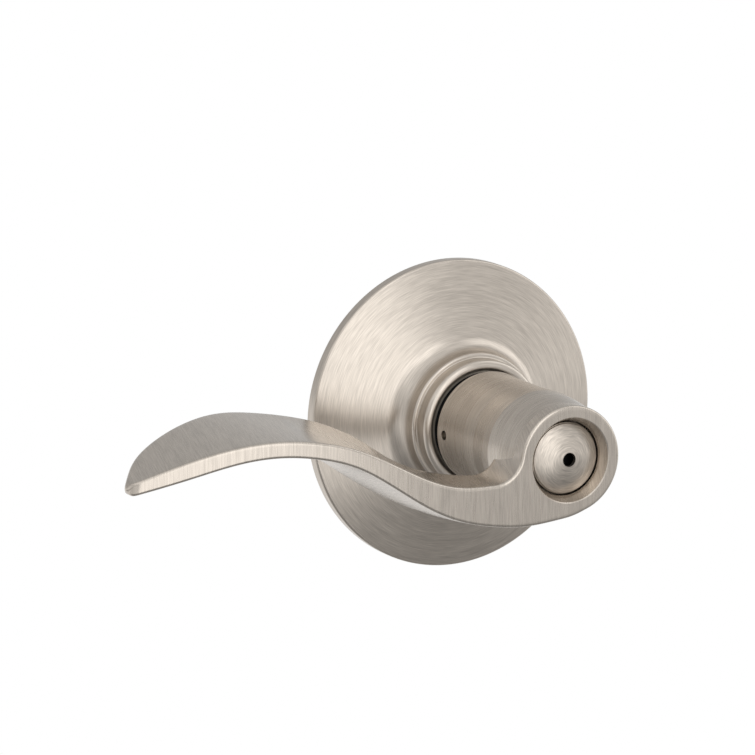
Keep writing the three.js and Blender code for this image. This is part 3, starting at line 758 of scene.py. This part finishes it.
def lever_section(u, top, normal):
    """A ring of points round the arm at a station."""
    on_head = u < under_head
    high = arm_top(u) if top is None else top
    low = -math.sqrt(head_radius**2 - u**2) if on_head else arm_bottom(u)
    high_normal = side_normal(arm_top, u, 1) if normal is None else normal
    low_normal = (-u / head_radius, low / head_radius) if on_head else side_normal(arm_bottom, u + 0.1, -1)
    if u > arm_reach - tip_round:
        middle = (high + low) / 2
        share = math.sqrt(1 - ((u - arm_reach + tip_round) / tip_round) ** 2)
        high, low = middle + (high - middle) * share, middle + (low - middle) * share
    past = u - tip_x
    front = arm_front(u)
    if past > tip_radius * math.sin(tip_turn):
        front = tip_y - math.sqrt(tip_radius**2 - past**2)
    back = head_depth - hand_front
    if past > tip_radius * math.sin(tip_back):
        back = tip_y + math.sqrt(tip_radius**2 - past**2)
    elif u > head_radius:
        back = arm_back(u)
    lift = swell_height * bell(u, 36, 6.5, 11.1) if u > head_radius else 0.0
    drop = belly_depth * bell(u, 32, 14, 18) if u > head_radius else 0.0
    rounding = front_round if on_head else min(front_round, 0.45 * (back - front), 0.4 * (high - low))
    half = (high + lift - low + drop) / 2
    depth = min(back_round, 0.8 * half, 0.45 * (back - front))
    rear, flat = back - depth, back - depth - front - rounding
    points = []

    def corner(edge, n, share):
        a = share * math.pi / 2
        inset = rounding * (1 - math.sin(a))
        points.append((-u - inset * n[0], front + rounding * (1 - math.cos(a)), edge - inset * n[1]))

    steps, rows = 8, 14
    for i in range(steps + 1):
        corner(high, high_normal, i / steps)
    for i in range(1, rows + 1):
        s = i / rows
        points.append((-u, front + rounding + flat * s, high + lift * s * s))
    top_z, low_z = high + lift, low - drop
    middle = (top_z + low_z) / 2
    pull = 0.55 * depth
    up = 2 * lift / max(flat, 0.1)
    crown, fullness = (back, middle), 0.55 * half
    over = bezier((rear, top_z), (rear + pull, top_z + up * pull), (back, middle + fullness), crown, 9)
    under = bezier(crown, (back, middle - fullness), (rear + pull, low_z), (rear, low_z), 9)
    points += [(-u, y, z) for y, z in over] + [(-u, y, z) for y, z in under]
    for i in range(rows - 1, -1, -1):
        s = i / rows
        points.append((-u, front + rounding + flat * s, low - drop * (1 - (1 - s) ** 2)))
    for i in range(steps - 1, -1, -1):
        corner(low, low_normal, i / steps)
    first, last = np.array(points[0]), np.array(points[-1])
    for share in (0.02, 0.1, 0.3, 0.5, 0.7, 0.9, 0.98):
        points.append(tuple(last + (first - last) * share))
    return points


def skinned(sections, first, last):
    """Points and faces of a skin over sections, closed at a point at both ends."""
    count = len(sections[0])
    points = [first, *(p for s in sections for p in s), last]
    faces = []
    end = len(points) - 1
    for j in range(count):
        k = (j + 1) % count
        faces.append((0, 1 + j, 1 + k))
        final = 1 + (len(sections) - 1) * count
        faces.append((end, final + k, final + j))
        for i in range(len(sections) - 1):
            a, b = 1 + i * count, 1 + (i + 1) * count
            faces.append((a + j, b + j, b + k, a + k))
    return points, faces


arm_finish = Finish("satin_nickel_arm", nickel, 0.27)
arm_brushed = brushed(
    arm_finish, arm_finish.x + arm_finish.y * -0.28, (arm_finish.y, arm_finish.z), depth=0.003
)
shank_finish = Finish("satin_nickel_shank", nickel, 0.27)
shank_brushed = brushed(shank_finish, shank_finish.y, (shank_finish.x, shank_finish.z))

tip_z = (arm_top(arm_reach) + arm_bottom(arm_reach)) / 2
sections = [lever_section(*station) for station in lever_stations()]
ends = (-arm_reach, tip_y, tip_z), (head_radius, -hand_front + head_depth / 2, 0)
lever = shell("lever", *skinned(sections, *ends), arm_brushed)
barrel = turned(
    "barrel",
    [
        (8.8, shank_rear), (11.4, shank_rear), (11.55, shank_rear - 0.05), (11.8, shank_rear - 0.3),
        (11.8, shank_rear - 0.9), (11.7, shank_rear - 2.2), (11.65, -23.46), (11.65, -34), (11.75, -36),
        (11.9, -38.5), (12, -41), (11.75, -45), (11.4, -48), (11.1, -51), (9.4, -51), (9.4, pocket_rear),
        (pin_radius + slip_gap, pocket_rear), (pin_radius + slip_gap, tube_front - seat_gap),
        (tube_radius + slip_gap, tube_front - seat_gap),
    ],
    shank_brushed,
    240,
    25,
)  # fmt: skip
past_shank = 14
catch_opening = rod("hole", catch_hole, tube_radius, past_shank, shank_brushed, sideways)
combined(barrel, "DIFFERENCE", catch_opening, crease=25)
cap_rear = -hand_front + recess_depth + cap_skirt
bores = turned(
    "bores",
    [
        (0, pocket_rear + 1), (cap_radius - pocket_shoulder, pocket_rear + 1),
        (cap_radius - pocket_shoulder, cap_rear + seat_gap), (cap_radius + slip_gap, cap_rear + seat_gap),
        (cap_radius + slip_gap, -hand_front + recess_depth), (recess_radius - 0.08, -hand_front + 0.2),
        (recess_radius + 0.16, -hand_front - 0.04), (recess_radius + 0.2, -hand_front - 1),
        (0, -hand_front - 1),
    ],
    arm_brushed,
    240,
)  # fmt: skip
combined(lever, "DIFFERENCE", bores)
for piece in (lever, barrel):
    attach(piece, "lever")
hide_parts("lever_handle")

# ---- Catch ---------------------------------------------------------------------------
# A headed steel pin stands through the tube into the hole in the side of the shank, and
# keeps the lever on. An open ring of spring strip inside the tube pushes it out, and a pin
# pressed into the hole frees the lever.
catch_base, catch_thickness, catch_head, catch_travel, catch_end = 6.8, 1.1, 2.0, 2.6, 10.2
ring_shift, ring_sheet, ring_width, ring_opening = 0.8, 0.5, 3.0, 30
catch = turned(
    "catch",
    [
        (0, catch_base - catch_thickness), (catch_head, catch_base - catch_thickness),
        (catch_head, catch_base), (catch_hole - 0.2, catch_base), (catch_hole - 0.2, catch_end - 0.15),
        (catch_hole - 0.35, catch_end), (0, catch_end),
    ],
    plated.material,
    48,
    place=sideways,
)  # fmt: skip
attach(catch, "catch")
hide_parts("lever_catch")

ring_radius = ring_shift + catch_base - catch_thickness - seat_gap
catch_ring = block_ring(
    "catch_ring", ring_radius - ring_sheet, ring_radius, catch_y - ring_width / 2, catch_y + ring_width / 2,
    ring_opening, 360 - ring_opening, spring_steel.material, 90,
)  # fmt: skip
catch_ring.data.transform(Matrix.Translation((ring_shift * MM, 0, 0)))
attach(catch_ring, "lever")
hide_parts("catch_spring")
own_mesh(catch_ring)  # fmt: skip

# ---- Cap -----------------------------------------------------------------------------
# The domed button in the head: thin brass, turned in rings, with the hole for the pin
# that releases the lock. Its skirt is pressed into the pocket behind the recess.
cap_rise, cap_sheet, release_hole = 2.0, 0.9, 1.4
dome = (cap_radius**2 + cap_rise**2) / (2 * cap_rise)
cap_edge = -hand_front + recess_depth
dome_centre = cap_edge - cap_rise + dome


def dome_arc(radius, first, last, steps):
    start, end = (math.degrees(math.asin(r / radius)) - 90 for r in (first, last))
    return arc((0, dome_centre), radius, start, end, steps)


cap_finish = Finish("satin_nickel_cap", nickel, 0.38)
swirl = cap_finish.radius + cap_finish.speckle(3.0, 21.0) * 1.2
cap_brushed = brushed(cap_finish, swirl, (cap_finish.x, cap_finish.z), 5.0, 2.0, 0.24)
cap = turned(
    "cap",
    [
        *dome_arc(dome, release_hole + 0.05, cap_radius - 0.3, 40),
        *arc((cap_radius - 0.3, cap_edge + 0.35), 0.3, -70, 0, 6),
        (cap_radius, cap_rear), (cap_radius - cap_sheet, cap_rear),
        (cap_radius - cap_sheet, cap_edge + 0.6),
        *dome_arc(dome - cap_sheet, cap_radius - 1.6, release_hole, 12),
        (release_hole, cap_edge - cap_rise + 0.25),
    ],
    cap_brushed,
    180,
)  # fmt: skip
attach(cap, "lever")
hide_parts("face_cap")

# ---- Washer and clip -----------------------------------------------------------------
# Behind the housing the tube is held by a steel washer and an open spring clip that
# snaps into the groove.
clip_radius, washer_front, washer_rear = 10.8, 8.2, 8.8
washer = turned(
    "washer",
    [
        (tube_radius + slip_gap, washer_front), (clip_radius + 0.5, washer_front),
        (clip_radius + 0.6, washer_front + 0.1), (clip_radius + 0.6, washer_rear - 0.1),
        (clip_radius + 0.5, washer_rear), (tube_radius + slip_gap, washer_rear),
    ],
    plated.material,
)  # fmt: skip
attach(washer, "trim")
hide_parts("thrust_washer")
clip_inner = tube_radius - clip_groove + 0.1
clip_start, clip_end = -60, 240
clip = block_ring(
    "clip", clip_inner, clip_radius, clip_front, clip_rear, clip_start, clip_end, spring_steel.material, 120
)  # fmt: skip
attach(clip, "lever")
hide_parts("retaining_clip")

# ---- Mounting posts ------------------------------------------------------------------
# Two turned steel posts, staked in the housing and tapped for the bolts that come through
# the door from the other side.
post_radius, post_bore, post_reach, post_shoulder = 4.0, 1.9, 17.0, boss_depth + seat_gap
for name, side in (("left", -1), ("right", 1)):
    post = turned(
        "post_" + name,
        [
            (0, cage_back + seat_gap), (stub_radius, cage_back + seat_gap), (stub_radius, post_shoulder),
            (post_radius, post_shoulder), (post_radius, post_reach - 0.5), (post_radius - 0.5, post_reach),
            (post_bore + 0.3, post_reach), (post_bore, post_reach - 0.3),
            (post_bore, post_shoulder + 2), (0, post_shoulder + 2),
        ],
        plated.material,
        64,
        place=Matrix.Translation((side * post_apart / 2, 0, 0)),
    )  # fmt: skip
    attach(post, "trim")
    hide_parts("mounting_post_" + name)

# ---- Studio --------------------------------------------------------------------------
# A pale floor well below the part, white further out and behind, a plain grey surround that
# darkens above and behind, and four soft lamps: before the part, to its right and left, and
# above. The left and top ones are weak.
floor_reach, floor_level = 12.0, -0.5
floor_sides = ((-1, -1), (1, -1), (1, 1), (-1, 1))
floor_mesh = bpy.data.meshes.new("floor")
corners = [(floor_reach * x, floor_reach * y, floor_level) for x, y in floor_sides]
floor_mesh.from_pydata(corners, [], [(0, 1, 2, 3)])
floor = bpy.data.objects.new("floor", floor_mesh)
bpy.context.scene.collection.objects.link(floor)
floor_finish = Finish("floor_white", (0.34, 0.34, 0.34), 0.9, 0.0)
floor_mesh.materials.append(floor_finish.material)
glow = floor_finish.node("Emission", {}, {"Color": (1, 1, 1, 1), "Strength": 1.0})
path = floor_finish.nodes.new("ShaderNodeLightPath")
camera_ray, glossy_ray, passing_ray = (
    Value(floor_finish, path.outputs["Is %s Ray" % kind]) for kind in ("Camera", "Glossy", "Transmission")
)
far = (floor_finish.x * floor_finish.x + floor_finish.y * floor_finish.y) ** 0.5
far = (far + floor_finish.y * 0.6).clipped(300.0, 1500.0)
behind = floor_finish.y.clipped(0.0, 700.0)
white = camera_ray * (far * 0.25 + 0.75) + (glossy_ray + passing_ray) * (far * 0.9 + behind)
plain = Value(floor_finish, floor_finish.shader.outputs[0])
floor_finish.feed(
    floor_finish.nodes["Material Output"].inputs["Surface"],
    floor_finish.node("MixShader", {}, {0: white, 1: plain, 2: glow}),
)

world = bpy.data.worlds.new("surround")
bpy.context.scene.world = world
world.use_nodes = True
sky, sky_links = world.node_tree.nodes, world.node_tree.links
place, slope, fade = (sky.new("ShaderNode" + kind) for kind in ("TexCoord", "VectorMath", "MapRange"))
slope.operation = "DOT_PRODUCT"
slope.inputs[1].default_value = (0, 0.6, 0.8)
for name, value in (("From Min", 0.1), ("From Max", 0.85), ("To Min", 0.84), ("To Max", 0.55)):
    fade.inputs[name].default_value = value
sky_links.new(place.outputs["Generated"], slope.inputs[0])
sky_links.new(slope.outputs["Value"], fade.inputs["Value"])
sky_links.new(fade.outputs["Result"], sky["Background"].inputs["Color"])


def lamp(name, azimuth, elevation, distance, wide, tall, radiance):
    """A soft box that faces the part. Azimuth 0 is straight out from the door."""
    data = bpy.data.lights.new(name, "AREA")
    data.shape, data.size, data.size_y = "RECTANGLE", wide, tall
    data.energy = radiance * math.pi * wide * tall
    made = bpy.data.objects.new(name, data)
    turn, rise = math.radians(azimuth), math.radians(elevation)
    out = distance * math.cos(rise)
    made.location = (out * math.sin(turn), -out * math.cos(turn), distance * math.sin(rise))
    made.rotation_euler = made.location.to_track_quat("Z", "Y").to_euler()
    made.visible_camera = False
    bpy.context.scene.collection.objects.link(made)


lamp("lamp_front", -6, 15, 0.8, 0.5, 1.6, 1.0)
lamp("lamp_right", 77, 27.5, 1.4, 0.75, 1.78, 0.85)
lamp("lamp_left", -75, 42.5, 1.3, 2.6, 0.82, 0.35)
lamp("lamp_top", 0, 90, 1.3, 1.5, 1.5, 0.35)

camera_data = bpy.data.cameras.new("camera")
camera = bpy.data.objects.new("camera", camera_data)
bpy.context.scene.collection.objects.link(camera)
bpy.context.scene.camera = camera
azimuth, elevation, distance = math.radians(-27.022), math.radians(11.649), 1.1606
right_shift, up_shift = -0.014266, 0.006939
right = Vector((math.cos(azimuth), math.sin(azimuth), 0))
out = math.cos(elevation)
away = Vector((math.sin(azimuth) * out, -math.cos(azimuth) * out, math.sin(elevation)))
up = away.cross(right)
aim = Matrix.Translation(away * distance + right * right_shift + up * up_shift)
camera.matrix_world = aim @ Matrix((right, up, away)).transposed().to_4x4()
camera_data.lens, camera_data.sensor_width = 264.7, 36.0
camera_data.clip_start, camera_data.clip_end = 0.05, 20.0
bpy.context.scene.view_settings.view_transform = "Standard"
